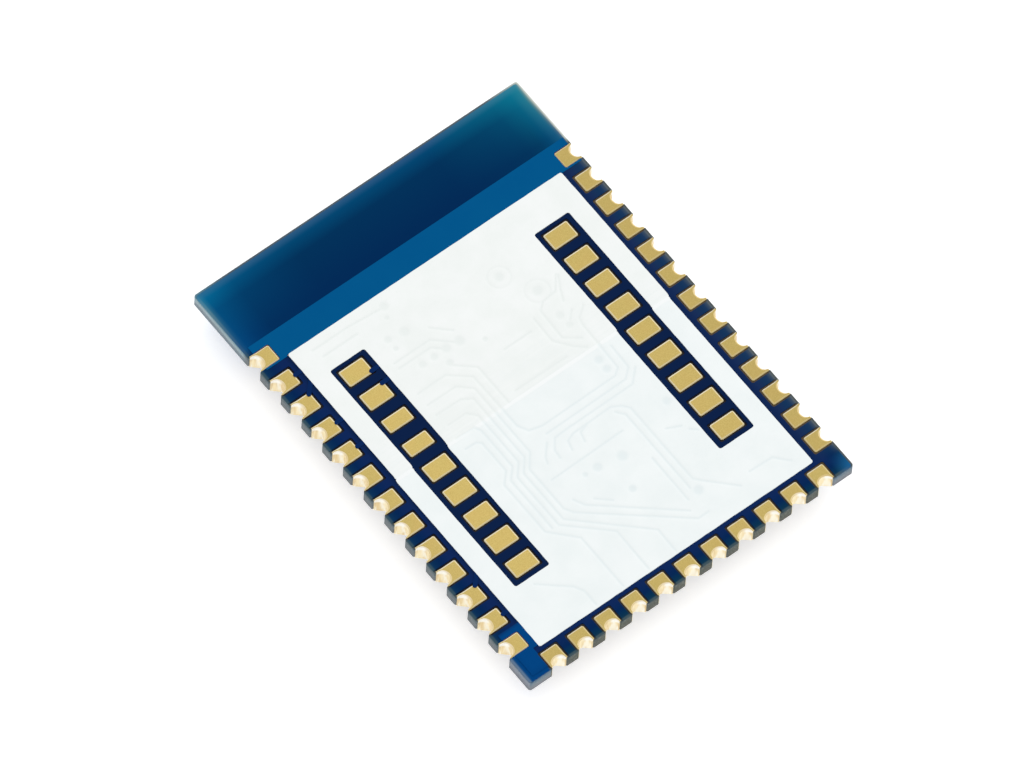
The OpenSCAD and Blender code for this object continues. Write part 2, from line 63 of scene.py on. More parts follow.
board_low, board_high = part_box("laminate")
plane_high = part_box("ground_copper")[1]
mask_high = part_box("solder_mask_pad_side")[1]
legend_low, legend_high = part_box("legend_ink")
column_low, column_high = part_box("inner_pads_right")
antenna_start = plane_high.y
rows_y = (column_low.y + column_high.y) / 2


# Places that several finishes and pieces share

END_ROW = -10.3  # along the board, in millimetres: the end row lies below this
RIGHT_ROW = 7.0  # across the board, in millimetres: the right row lies beyond this
MASK_STEP = plane_high.z + 0.015 * MM  # between the mask's level over laminate and over copper
INK_TOP = legend_high.z - 0.007 * MM
RELIEF = 0.016 * MM  # how far the ink sinks into gaps
SEAM = (-0.645 * MM, -0.525 * MM)  # where the two print passes overlap, in the artwork
OVERLAP_RISE = 0.006 * MM  # how far the overlap stands over the rest of the ink
ROWS_DROP = 1.148 * MM  # how far the rows' middle lies below the artwork's
art_x = (legend_low.x + legend_high.x) / 2  # the pad side's artwork lies a little off the board's middle
art_y = rows_y + ROWS_DROP


# Camera, at the photograph's angle

CAM_AZIMUTH = -41.725
CAM_ELEVATION = 61.615
CAM_ROLL = 4.266
CAM_DISTANCE = 1019.64 * MM
CAM_AIM = Vector((-0.512, 0.121, 1.96)) * MM
CAM_SENSOR = 36.0
CAM_LENS = 843.75
CAM_NEAR = 0.05
CAM_FAR = 10


def photo_camera():
    azimuth, elevation, roll = (math.radians(v) for v in (CAM_AZIMUTH, CAM_ELEVATION, CAM_ROLL))
    back = Vector((math.sin(azimuth) * math.cos(elevation),
                   -math.cos(azimuth) * math.cos(elevation),
                   math.sin(elevation)))
    right = Vector((math.cos(azimuth), math.sin(azimuth), 0))
    up = back.cross(right)
    turned_right = right * math.cos(roll) + up * math.sin(roll)
    turned_up = up * math.cos(roll) - right * math.sin(roll)
    data = bpy.data.cameras.new("camera")
    data.sensor_width = CAM_SENSOR
    data.lens = CAM_LENS
    data.clip_start = CAM_NEAR
    data.clip_end = CAM_FAR
    camera = bpy.data.objects.new("camera", data)
    turn = Matrix((turned_right, turned_up, back)).transposed().to_4x4()
    camera.matrix_world = Matrix.Translation(CAM_AIM + back * CAM_DISTANCE) @ turn
    bpy.context.scene.collection.objects.link(camera)
    bpy.context.scene.camera = camera


photo_camera()


# Node helpers

def material(name):
    made = bpy.data.materials.new(name)
    made.use_nodes = True
    return made, made.node_tree, made.node_tree.nodes["Principled BSDF"]


def add(tree, kind, inputs=None, **settings):
    """A node with its settings, and its inputs set to values or linked to sockets."""
    node = tree.nodes.new(kind)
    for key, value in settings.items():
        setattr(node, key, value)
    for key, value in (inputs or {}).items():
        feed(tree, node.inputs[key], value)
    return node


def feed(tree, socket, value):
    if isinstance(value, bpy.types.NodeSocket):
        tree.links.new(value, socket)
    else:
        socket.default_value = value


def colour(red, green, blue):
    """A screen colour, 0 to 255, as the linear colour that a shader takes."""
    def linear(v):
        v /= 255
        return v / 12.92 if v <= 0.04045 else ((v + 0.055) / 1.055) ** 2.4
    return (linear(red), linear(green), linear(blue), 1)


def grey(level):
    """A grey screen colour, from a level between 0 and 1."""
    return (255 * level, 255 * level, 255 * level)


def place(tree):
    return add(tree, "ShaderNodeTexCoord").outputs["Object"]


def split(tree, vector):
    return add(tree, "ShaderNodeSeparateXYZ", {0: vector}).outputs


def noise(tree, size, detail=3, roughness=0.55, stretch=(1, 1, 1)):
    """Noise between 0 and 1 whose features are about that size, in metres."""
    scaled = add(tree, "ShaderNodeVectorMath", {0: place(tree), 1: stretch}, operation="MULTIPLY")
    node = add(tree, "ShaderNodeTexNoise", {"Vector": scaled.outputs[0], "Scale": 1 / size,
                                            "Detail": detail, "Roughness": roughness})
    return node.outputs["Fac"]


def maths(tree, operation, first, second=0.0):
    return add(tree, "ShaderNodeMath", {0: first, 1: second}, operation=operation).outputs[0]


def in_mm(tree, length):
    return maths(tree, "MULTIPLY", length, 1 / MM)


def choose(tree, share, first, second):
    """The first number where share is 1, the second where it is 0."""
    rest = maths(tree, "SUBTRACT", 1, share)
    return maths(tree, "ADD", maths(tree, "MULTIPLY", first, share), maths(tree, "MULTIPLY", second, rest))


def span(tree, value, low, high, to_low=0.0, to_high=1.0, smooth=False):
    """The value's place between low and high, as a number from to_low to to_high."""
    node = add(tree, "ShaderNodeMapRange", {"Value": value, "From Min": low, "From Max": high,
                                            "To Min": to_low, "To Max": to_high})
    if smooth:
        node.interpolation_type = "SMOOTHSTEP"
    return node.outputs[0]


def mix(tree, share, first, second, blend="MIX"):
    node = add(tree, "ShaderNodeMix", data_type="RGBA", blend_type=blend)
    feed(tree, node.inputs["Factor"], share)
    feed(tree, node.inputs[6], first)
    feed(tree, node.inputs[7], second)
    return node.outputs[2]


def ramp(tree, value, stops):
    """A colour that runs through the stops, given as {value: (red, green, blue)} in screen colours."""
    places = sorted(stops)
    node = add(tree, "ShaderNodeValToRGB", {"Fac": span(tree, value, places[0], places[-1])})
    elements = node.color_ramp.elements
    reach = places[-1] - places[0]
    for number, at in enumerate(places):
        element = elements[number] if number < 2 else elements.new(1)
        element.position = (at - places[0]) / reach
        element.color = colour(*stops[at])
    return node.outputs["Color"]


def bump(tree, height, depth):
    return add(tree, "ShaderNodeBump", {"Height": height, "Distance": depth, "Strength": 1.0}).outputs[0]


def facing_up(tree):
    """1 on level faces and 0 on upright ones."""
    normal = add(tree, "ShaderNodeNewGeometry").outputs["Normal"]
    return maths(tree, "ABSOLUTE", split(tree, normal)[2])


# Materials

GLEAM = -0.55  # the side that the gleaming part of a half barrel faces, along its row


def edge_distance(tree, x, y):
    """How far a point lies inside the nearest board edge, in millimetres."""
    sides = maths(tree, "SUBTRACT", board_high.x, maths(tree, "ABSOLUTE", x))
    ends = maths(tree, "SUBTRACT", board_high.y, maths(tree, "ABSOLUTE", y))
    return in_mm(tree, maths(tree, "MINIMUM", sides, ends))


def gold_flat(tree, across, along, grain, patches):
    """Level faces of the pads: satin gold, with painted shade that makes it a little darker to the right and
    in the end row.
    """
    tone = mix(tree, span(tree, grain, 0.35, 0.65), colour(202, 178, 104), colour(216, 193, 118))
    tone = mix(tree, span(tree, patches, 0.35, 0.7, 0, 0.35), tone, colour(206, 177, 108))
    # painted shade: darker towards both side rows, most to the right, and in the end row
    row_shade = ramp(tree, across, {-8.7: grey(0.96), -7.4: grey(0.98), -6.4: grey(1), -4.6: grey(1),
                               4.6: grey(0.955), 6.4: grey(0.95), 7.4: grey(0.915), 8.7: grey(0.905)})
    row_shade = mix(tree, span(tree, along, END_ROW - 0.1, END_ROW + 0.1), colour(*grey(0.935)), row_shade)
    return mix(tree, 1.0, tone, row_shade, "MULTIPLY")


def off_holes(tree, x, y, across, along, end_row):
    """0 round the half holes, 1 on the rest of the pads."""
    off_side = maths(tree, "PINGPONG", maths(tree, "SUBTRACT", along, rows_y / MM), PITCH / MM / 2)
    off_end = maths(tree, "PINGPONG", maths(tree, "SUBTRACT", across, art_x / MM), PITCH / MM / 2)
    off = choose(tree, end_row, off_end, off_side)
    side_centre = maths(tree, "MULTIPLY", maths(tree, "SIGN", across), -art_x / MM)
    centre = choose(tree, end_row, art_y / MM, side_centre)
    inward = maths(tree, "SUBTRACT", edge_distance(tree, x, y), centre)
    radius = maths(tree, "SQRT", maths(tree, "ADD", maths(tree, "MULTIPLY", off, off),
                                       maths(tree, "MULTIPLY", inward, inward)))
    return maths(tree, "MAXIMUM", span(tree, radius, 0.44, 0.455), span(tree, off, 0.395, 0.415))


def barrel_tone(tree, flank, z):
    """Cream that stands for lit gold, with upright streaks of painted reflection, a painted highlight and a
    painted tan shade line down one flank, and a white painted highlight cap near the top.
    """
    depth = in_mm(tree, maths(tree, "SUBTRACT", column_high.z, z))
    streaks = noise(tree, 0.2 * MM, 2, stretch=(1, 1, 0.1))
    tone = mix(tree, span(tree, streaks, 0.35, 0.6), colour(234, 210, 160), colour(251, 237, 198))
    off_gleam = maths(tree, "ABSOLUTE", maths(tree, "SUBTRACT", flank, GLEAM))
    # painted highlight down the flank that faces GLEAM
    tone = mix(tree, span(tree, off_gleam, 0.04, 0.16, 0.8, 0), tone, colour(255, 252, 238))
    # painted shade: a tan line at the flank's far end
    tone = mix(tree, span(tree, flank, -0.97, -0.85, 0.4, 0), tone, colour(206, 168, 112))
    # painted highlight: a white cap near the top of the flank
    cap = maths(tree, "MULTIPLY", span(tree, flank, -0.5, -0.15, 1, 0), span(tree, depth, 0.14, 0.24, 1, 0))
    return mix(tree, cap, tone, colour(255, 253, 246))


def rim_tone(tree, across, along, flank, to_x, to_y, away):
    """Rounded rims, toned by how they face, as painted highlights and shade: bright round the half holes,
    pale on the pads, darker in the right and end rows.
    """
    right = span(tree, across, RIGHT_ROW - 0.2, RIGHT_ROW + 0.2)
    # painted highlight round the half holes' mouths, brightest on one flank
    mouth = mix(tree, span(tree, flank, -0.5, 0.1), colour(255, 250, 238), colour(232, 210, 158))
    mouth = mix(tree, right, mouth, colour(222, 198, 140))
    # painted light: rims that face +y paler, rims that face +x darker
    pale = mix(tree, span(tree, to_y, -0.3, 0.5), colour(216, 200, 156), colour(248, 238, 208))
    pale = mix(tree, span(tree, to_x, 0.2, 0.6), pale, colour(212, 199, 158))
    # painted shade: in the right and end rows, rims that don't face +y are darker
    rim_shade = maths(tree, "MAXIMUM", right, span(tree, along, END_ROW - 0.1, END_ROW + 0.1, 1, 0))
    rim_shade = maths(tree, "MULTIPLY", rim_shade, span(tree, to_y, 0.1, 0.5, 0.8, 0))
    return mix(tree, away, mouth, mix(tree, rim_shade, pale, colour(208, 186, 126)))


def gold_finish():
    """Satin gold flats; lit and shaded copies of the gold on the rest: painted highlights on pale rounded
    rims and cream half barrels, painted shade on the pads' outer walls.
    """
    made, tree, shader = material("gold_finish")
    x, y, z = split(tree, place(tree))[:3]
    across, along = in_mm(tree, x), in_mm(tree, y)
    to_x, to_y = split(tree, add(tree, "ShaderNodeNewGeometry").outputs["Normal"])[:2]
    grain = noise(tree, 0.05 * MM, 2)
    patches = noise(tree, 0.6 * MM, 3)
    end_row = span(tree, along, END_ROW, END_ROW + 0.05, 1, 0)
    flank = choose(tree, end_row, to_x, to_y)
    away = off_holes(tree, x, y, across, along, end_row)
    # painted shade: away from the holes, the pads' outer walls are dark brown
    wall = mix(tree, away, barrel_tone(tree, flank, z), colour(112, 92, 56))
    rim = rim_tone(tree, across, along, flank, to_x, to_y, away)
    up = facing_up(tree)
    turned = mix(tree, span(tree, up, 0.3, 0.5), wall, rim)
    level = span(tree, up, 0.984, 0.996)
    flat = gold_flat(tree, across, along, grain, patches)
    feed(tree, shader.inputs["Base Color"], mix(tree, level, turned, flat))
    feed(tree, shader.inputs["Roughness"], span(tree, patches, 0.3, 0.7, 0.36, 0.46))
    feed(tree, shader.inputs["Normal"], bump(tree, grain, 0.0015 * MM))
    feed(tree, shader.inputs["Metallic"], span(tree, level, 0, 1, 0.15, 1))
    shader.inputs["Specular IOR Level"].default_value = 0.1
    return made


def bare_mask(tree, across, along, rim):
    """Mask over laminate: dark, with painted light that makes it paler towards the board's edges, brighter in
    the two lower corners.
    """
    # painted light: paler near the edges, where light seeps in through the laminate
    near = ramp(tree, rim, {0.07: (54, 80, 94), 0.14: (14, 52, 88), 0.25: (9, 46, 86), 0.5: (5, 39, 85),
                            0.9: (14, 40, 90), 1.2: (15, 39, 88), 1.4: (12, 33, 72)})
    far = ramp(tree, rim, {0.07: (110, 116, 118), 0.2: (58, 76, 96), 0.35: (28, 56, 92), 0.5: (20, 52, 90),
                           0.9: (26, 46, 86), 1.4: (12, 33, 72)})
    nose = ramp(tree, rim, {0.07: (64, 84, 92), 0.12: (16, 54, 80), 0.2: (8, 50, 80), 0.34: (6, 46, 84),
                            0.5: (5, 39, 85)})
    right = maths(tree, "MULTIPLY", span(tree, across, RIGHT_ROW, RIGHT_ROW + 1),
                  span(tree, along, END_ROW - 0.5, END_ROW + 0.1))
    tone = mix(tree, right, near, far)
    tone = mix(tree, span(tree, along, -11.2, -11.1, 1, 0), tone, nose)
    left_corner = maths(tree, "MULTIPLY", span(tree, across, -7.7, -7.6, 1, 0),
                        span(tree, along, END_ROW, END_ROW + 0.1, 1, 0))
    side_rim = maths(tree, "SUBTRACT", board_high.x / MM, maths(tree, "ABSOLUTE", across))
    filled = ramp(tree, side_rim, {0.07: (94, 118, 146), 0.11: (40, 86, 130), 0.16: (2, 66, 127)})
    tone = mix(tree, left_corner, tone, filled)
    right_corner = maths(tree, "MULTIPLY", span(tree, across, 7.9, 8.6),
                         span(tree, along, -11.5, -10.7, 1, 0))
    return mix(tree, right_corner, tone, colour(28, 96, 148))


def antenna_mask(tree, across, y):
    """Mask over the antenna strip: deep blue, lit from the board's end and from both sides."""
    end = in_mm(tree, maths(tree, "SUBTRACT", board_high.y, y))
    tone = ramp(tree, across, {-8.65: (84, 126, 144), -8.58: (40, 102, 134), -8.4: (2, 79, 126),
                               -7: (1, 62, 106), -4: (1, 50, 91), 3.5: (1, 50, 91), 6: (2, 65, 103),
                               7: (3, 75, 111), 8: (7, 100, 131), 8.44: (38, 120, 143),
                               8.54: (84, 132, 138), 8.65: (170, 184, 178)})
    deep = ramp(tree, across, {-8.5: (2, 64, 120), -7.8: (1, 47, 100), -7: (1, 39, 87), 6: (1, 38, 84),
                               7.6: (1, 36, 83), 8.1: (1, 51, 102), 8.5: (14, 74, 123)})
    lift = ramp(tree, across, {-8.5: (4, 134, 178), -7: (2, 108, 156), -5.5: (2, 100, 148),
                               3.5: (2, 98, 148), 8: (14, 136, 160)})
    # painted light: paler near the board's end, where light seeps in through the laminate
    end_seep_light = ramp(tree, across, {-8: (64, 108, 142), 3.5: (64, 96, 138), 8: (72, 136, 160)})
    tone = mix(tree, span(tree, end, 1.1, 3.1, 0, 0.7), tone, deep)
    tone = mix(tree, span(tree, end, 0.25, 1.15, 0.42, 0), tone, lift)
    return mix(tree, span(tree, end, 0.07, 0.5, 0.5, 0, True), tone, end_seep_light)


def mask_finish(name):
    """Blue mask: bright over copper, dark over laminate, with light that seeps in at the board's edges."""
    made, tree, shader = material(name)
    x, y, z = split(tree, place(tree))[:3]
    across, along = in_mm(tree, x), in_mm(tree, y)
    rim = edge_distance(tree, x, y)
    cloud = noise(tree, 1.5 * MM, 3)
    zone = span(tree, y, antenna_start - 0.35 * MM, antenna_start + 0.02 * MM)
    bare = mix(tree, zone, bare_mask(tree, across, along, rim), antenna_mask(tree, across, y))
    band = mix(tree, cloud, colour(0, 83, 138), colour(3, 89, 142))
    corner = ramp(tree, rim, {0.15: (2, 63, 122), 0.5: (2, 68, 130)})
    over = mix(tree, span(tree, along, 6.5, 6.6), colour(11, 40, 90), band)
    over = mix(tree, span(tree, along, -9.2, -8.95), corner, over)
    raised = maths(tree, "GREATER_THAN", z, MASK_STEP)
    feed(tree, shader.inputs["Base Color"], mix(tree, raised, bare, over))
    feed(tree, shader.inputs["Roughness"], span(tree, noise(tree, 0.4 * MM), 0.3, 0.7, 0.3, 0.42))
    feed(tree, shader.inputs["Normal"], bump(tree, noise(tree, 0.3 * MM, 4), 0.001 * MM))
    shader.inputs["Specular IOR Level"].default_value = 0.01
    return made


def laminate_edge(tree, x, y, depth, strip):
    """Cut edges, from teal under the mask to grey below: tongues, corners and the open antenna strip, with
    painted shade on the end faces, darker than the side faces, and painted light on the antenna strip's
    edges.
    """
    tongue = ramp(tree, depth, {0: (64, 88, 96), 0.12: (94, 109, 116), 0.3: (113, 121, 126),
                                0.69: (112, 118, 121)})
    end_tongue = ramp(tree, depth, {0: (74, 88, 90), 0.12: (84, 90, 84), 0.3: (83, 88, 78),
                                    0.69: (92, 92, 84)})
    corner = ramp(tree, depth, {0: (92, 114, 138), 0.12: (132, 144, 158), 0.3: (136, 143, 155),
                                0.5: (120, 125, 135), 0.69: (114, 118, 127)})
    corner_end = ramp(tree, depth, {0: (56, 95, 126), 0.12: (94, 120, 139), 0.3: (122, 135, 146),
                                    0.5: (128, 133, 140), 0.69: (120, 123, 130)})
    open_edge = ramp(tree, depth, {0: (106, 144, 157), 0.12: (144, 172, 181), 0.25: (160, 179, 186),
                                   0.45: (122, 137, 147), 0.69: (113, 127, 137)})
    end_face = span(tree, y, board_low.y + 0.03 * MM, board_low.y + 0.05 * MM, 1, 0)
    corner = mix(tree, end_face, corner, corner_end)
    outer = maths(tree, "MULTIPLY", span(tree, maths(tree, "ABSOLUTE", x), 7.57 * MM, 7.6 * MM),
                  span(tree, y, (END_ROW + 0.02) * MM, (END_ROW + 0.05) * MM, 1, 0))
    tone = mix(tree, span(tree, y, board_low.y, board_low.y + 0.3 * MM, 1, 0), tongue, end_tongue)
    tone = mix(tree, outer, tone, corner)
    return mix(tree, strip, tone, open_edge)


def laminate_face(tree, x, y, strip):
    """What shows of its faces: a pale rim outside the mask, lighter towards both sides in the antenna strip
    with painted light, and dark rings round the pads.
    """
    rim = ramp(tree, in_mm(tree, x), {-8.72: (104, 140, 154), -7: (84, 98, 108), 7: (92, 102, 108),
                                      8.72: (200, 206, 198)})
    rim = mix(tree, strip, colour(84, 92, 94), rim)
    end_row = span(tree, y, (END_ROW + 0.1) * MM, (END_ROW + 0.3) * MM, 1, 0)
    ring = mix(tree, end_row, colour(42, 37, 36), colour(62, 56, 50))
    ring = mix(tree, span(tree, x, (RIGHT_ROW - 0.4) * MM, RIGHT_ROW * MM), ring, colour(94, 80, 60))
    return mix(tree, span(tree, edge_distance(tree, x, y), 0.08, 0.14), rim, ring)


def laminate_finish():
    """Bare glass-epoxy, with fibres and pale specks in its cut edges."""
    made, tree, shader = material("laminate_finish")
    x, y, z = split(tree, place(tree))[:3]
    level = span(tree, facing_up(tree), 0.4, 0.8)
    fibres = noise(tree, 0.06 * MM, 3, stretch=(0.12, 0.12, 1))
    specks = noise(tree, 0.08 * MM, 3)
    depth = in_mm(tree, maths(tree, "SUBTRACT", board_high.z, z))
    strip = span(tree, y, antenna_start - 0.3 * MM, antenna_start)
    edge = laminate_edge(tree, x, y, depth, strip)
    edge = mix(tree, span(tree, fibres, 0.35, 0.65, 0.3, 0), edge, colour(78, 82, 82))
    edge = mix(tree, span(tree, specks, 0.5, 0.75, 0, 0.3), edge, colour(182, 184, 180))
    feed(tree, shader.inputs["Base Color"], mix(tree, level, edge, laminate_face(tree, x, y, strip)))
    feed(tree, shader.inputs["Roughness"], span(tree, specks, 0.3, 0.7, 0.5, 0.7))
    feed(tree, shader.inputs["Normal"], bump(tree, fibres, 0.01 * MM))
    shader.inputs["Specular IOR Level"].default_value = 0.1
    return made


def legend_finish():
    """White ink in two passes: cooler below the seam, darker where it sinks and in faint lines above
    the seam, brightest where the passes overlap."""
    made, tree, shader = material("legend_finish")
    y, z = split(tree, place(tree))[1:3]
    cloud = noise(tree, 1.2 * MM, 3)
    grain = noise(tree, 0.05 * MM, 2)
    seam = art_y + SEAM[1]
    lower = mix(tree, span(tree, cloud, 0.35, 0.65), colour(241, 247, 247), colour(245, 250, 250))
    upper = mix(tree, span(tree, cloud, 0.35, 0.65), colour(243, 247, 245), colour(247, 250, 249))
    above = span(tree, y, seam - 0.02 * MM, seam + 0.02 * MM)
    tone = mix(tree, above, lower, upper)
    near_seam = maths(tree, "MULTIPLY", above, span(tree, y, seam, seam + 3 * MM, 0.35, 0))
    streaks = span(tree, noise(tree, 0.14 * MM, 2, stretch=(0.04, 1, 1)), 0.35, 0.65)
    tone = mix(tree, maths(tree, "MULTIPLY", streaks, near_seam), tone, colour(236, 242, 241))
    sunk = span(tree, z, INK_TOP - RELIEF, INK_TOP - 0.2 * RELIEF, 1, 0)
    tone = mix(tree, sunk, tone, mix(tree, above, colour(234, 242, 243), colour(238, 243, 241)))
    overlap = span(tree, z, INK_TOP + OVERLAP_RISE / 3, INK_TOP + OVERLAP_RISE * 5 / 6)
    tone = mix(tree, overlap, tone, colour(249, 252, 252))
    feed(tree, shader.inputs["Base Color"], tone)
    feed(tree, shader.inputs["Roughness"], span(tree, grain, 0.3, 0.7, 0.5, 0.65))
    feed(tree, shader.inputs["Normal"], bump(tree, grain, 0.001 * MM))
    shader.inputs["Specular IOR Level"].default_value = 0.2
    return made


def metal_finish(name, dark, light, rough, stretch=(1, 1, 1), size=0.1 * MM):
    made, tree, shader = material(name)
    streaks = noise(tree, size, 4, stretch=stretch)
    patches = noise(tree, 1.2 * MM, 3)
    tone = mix(tree, span(tree, streaks, 0.3, 0.7), dark, light)
    feed(tree, shader.inputs["Base Color"], mix(tree, span(tree, patches, 0.3, 0.7, 0, 0.3), tone, dark))
    feed(tree, shader.inputs["Roughness"], span(tree, streaks, 0.3, 0.7, rough - 0.06, rough + 0.06))
    feed(tree, shader.inputs["Normal"], bump(tree, streaks, 0.002 * MM))
    shader.inputs["Metallic"].default_value = 1.0
    return made


def ceramic_finish(name, dark, light, rough):
    made, tree, shader = material(name)
    grain = noise(tree, 0.05 * MM, 3)
    patches = noise(tree, 0.5 * MM, 3)
    tone = mix(tree, span(tree, grain, 0.3, 0.7), dark, light)
    feed(tree, shader.inputs["Base Color"], mix(tree, span(tree, patches, 0.3, 0.7, 0, 0.3), tone, dark))
    feed(tree, shader.inputs["Roughness"], span(tree, grain, 0.3, 0.7, rough - 0.08, rough + 0.08))
    feed(tree, shader.inputs["Normal"], bump(tree, grain, 0.004 * MM))
    return made


gold = gold_finish()
legend = legend_finish()
mask_front = mask_finish("mask_pad_side")
mask_back = mask_finish("mask_component_side")
copper = metal_finish("copper_foil", colour(184, 112, 72), colour(214, 144, 100), 0.35)
shield_steel = metal_finish("shield_plating", colour(190, 190, 186), colour(216, 216, 212), 0.3, (0.05, 1, 1))
solder = metal_finish("solder_bright", colour(172, 174, 178), colour(206, 208, 210), 0.28)
tinned = metal_finish("tinned_ends", colour(180, 180, 178), colour(212, 212, 208), 0.32)
lid_metal = metal_finish("lid_metal", colour(190, 186, 172), colour(218, 214, 202), 0.28, (1, 0.05, 1))
chip_epoxy = ceramic_finish("chip_epoxy", colour(24, 24, 26), colour(40, 40, 42), 0.55)
base_ceramic = ceramic_finish("base_ceramic", colour(176, 160, 126), colour(204, 190, 156), 0.5)
cap_ceramic = ceramic_finish("capacitor_ceramic", colour(140, 104, 70), colour(170, 132, 94), 0.45)
ferrite = ceramic_finish("ferrite", colour(40, 40, 44), colour(66, 66, 70), 0.5)

FINISHES = {
    "laminate": laminate_finish(),
    "ground_copper": copper,
    "component_copper": copper,
    "antenna_trace": copper,
    "castellations_left": gold,
    "castellations_right": gold,
    "castellations_end": gold,
    "inner_pads_left": gold,
    "inner_pads_right": gold,
    "solder_mask_pad_side": mask_front,
    "solder_mask_component_side": mask_back,
    "legend_ink": legend,
    "shield_can": shield_steel,
    "shield_solder": solder,
    "radio_chip": chip_epoxy,
    "radio_chip_contacts": solder,
    "main_crystal_base": base_ceramic,
    "main_crystal_lid": lid_metal,
    "sleep_crystal_base": base_ceramic,
    "sleep_crystal_lid": lid_metal,
    "capacitor_bodies": cap_ceramic,
    "capacitor_terminals": tinned,
    "inductor_bodies": ferrite,
    "inductor_terminals": tinned,
    "component_joints": solder,
}
for name, finish in FINISHES.items():
    slots = NODES[name].data.materials
    slots.clear()
    slots.append(finish)


# Rounded edges on the solids that show

WELD = 0.0005 * MM  # points closer than this are one
FACET_TURN = math.radians(2)  # facets that turn by less make one face
EDGE_TURN = math.radians(40)  # faces that turn by more meet in an edge
MASK_ROUND = 0.012 * MM
LAMINATE_ROUND = 0.01 * MM
ROUND_STEPS = 2


def soften(node, width):
    """Rounds a CAD node's edges by modifiers, after its facets are joined into clean faces."""
    piece = NODES[node]
    weld = piece.modifiers.new("weld", "WELD")
    weld.merge_threshold = WELD
    clean = piece.modifiers.new("clean", "DECIMATE")
    clean.decimate_type = "DISSOLVE"
    clean.angle_limit = FACET_TURN
    bevel = piece.modifiers.new("round", "BEVEL")
    bevel.width = width
    bevel.segments = ROUND_STEPS
    bevel.limit_method = "ANGLE"
    bevel.angle_limit = EDGE_TURN


for name in ("solder_mask_pad_side", "solder_mask_component_side"):
    soften(name, MASK_ROUND)
soften("laminate", LAMINATE_ROUND)


def new_piece(name, mesh, finish):
    """A piece with that mesh and finish, on the part's one body."""
    mesh.materials.append(finish)
    piece = bpy.data.objects.new(name, mesh)
    bpy.context.scene.collection.objects.link(piece)
    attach(piece, "root")
    return piece


# Mask that laps over the copper plane's rim beside the legend, where the solids' mask stops just short

MASK_LAP = 0.03 * MM


def mask_lap(name, side):
    """A film along the rim, from the legend's left (side -1) or right (side 1) edge outward."""
    start = (legend_high if side > 0 else legend_low).x
    arm = [vert.co for vert in NODES["ground_copper"].data.vertices
           if side * (vert.co.x - start) > 0 and vert.co.y > 0]
    foot = min(at.y for at in arm)
    ends = sorted((start - side * MASK_LAP, max((at.x for at in arm), key=abs) + side * MASK_LAP))
    low = Vector((ends[0], foot - MASK_LAP, plane_high.z))
    high = Vector((ends[1], foot + MASK_LAP, mask_high.z))
    shape = bmesh.new()
    bmesh.ops.create_cube(shape, size=1, matrix=Matrix.LocRotScale((low + high) / 2, None, high - low))
    front = [edge for edge in shape.edges
             if all(vert.co.z > plane_high.z and vert.co.y < foot for vert in edge.verts)]
    bmesh.ops.bevel(shape, geom=front, offset=MASK_ROUND, segments=ROUND_STEPS, profile=0.5, affect="EDGES")
    mesh = bpy.data.meshes.new(name)
    shape.to_mesh(mesh)
    shape.free()
    piece = new_piece(name, mesh, mask_front)


mask_lap("mask_lap_left", -1)
mask_lap("mask_lap_right", 1)


# Plated pads and half holes: the solids' own form, with the rims of the plating rounded

RIM = 0.068 * MM
RIM_FALL = 0.8  # a rim's fall as a share of its reach
RIM_STEPS = 4
RIM_CELL = 0.06 * MM
RIM_SHARE = 0.32  # of the metal's width, the most that a rim takes where it is narrow
RIM_BEND = 0.45  # of an outline's shorter edge, the most that a rim takes in a bend
RIM_GROWTH = 0.35  # how fast a rim may widen along the outline
SAME_LEVEL = 0.0002 * MM
ITSELF = 0.002 * MM  # an outline that is met nearer than this is the point's own stretch
LEVEL = 0.999  # faces that look up or down by more than this stay flat
HOLE_REACH = 0.385 * MM  # the half holes' own radius, without the lips
FLARE = 0.85  # the most that a barrel's foot leans, as a share of its way to the lips
FLARE_START = 0.05
FLARE_REACH = 0.4 * MM


def level_faces(shape, level):
    """A solid's faces at a height, and their outlines as rings of points."""
    faces = [face for face in shape.faces if all(abs(v.co.z - level) < SAME_LEVEL for v in face.verts)]
    inside = set(faces)
    following = {}
    for face in faces:
        for corner in face.loops:
            if not any(other in inside for other in corner.edge.link_faces if other is not face):
                following[corner.vert] = corner.link_loop_next.vert
    rings = []
    while following:
        ring = [next(iter(following))]
        while (after := following.pop(ring[-1])) is not ring[0]:
            ring.append(after)
        rings.append(ring)
    return faces, rings


def split_outlines(shape, level):
    cuts = {}
    for ring in level_faces(shape, level)[1]:
        for pair in zip(ring, ring[1:] + ring[:1]):
            edge = shape.edges.get(pair)
            cuts.setdefault(int(edge.calc_length() / RIM_CELL), []).append(edge)
    for count, edges in cuts.items():
        if count:
            bmesh.ops.bisect_edges(shape, edges=edges, cuts=count)


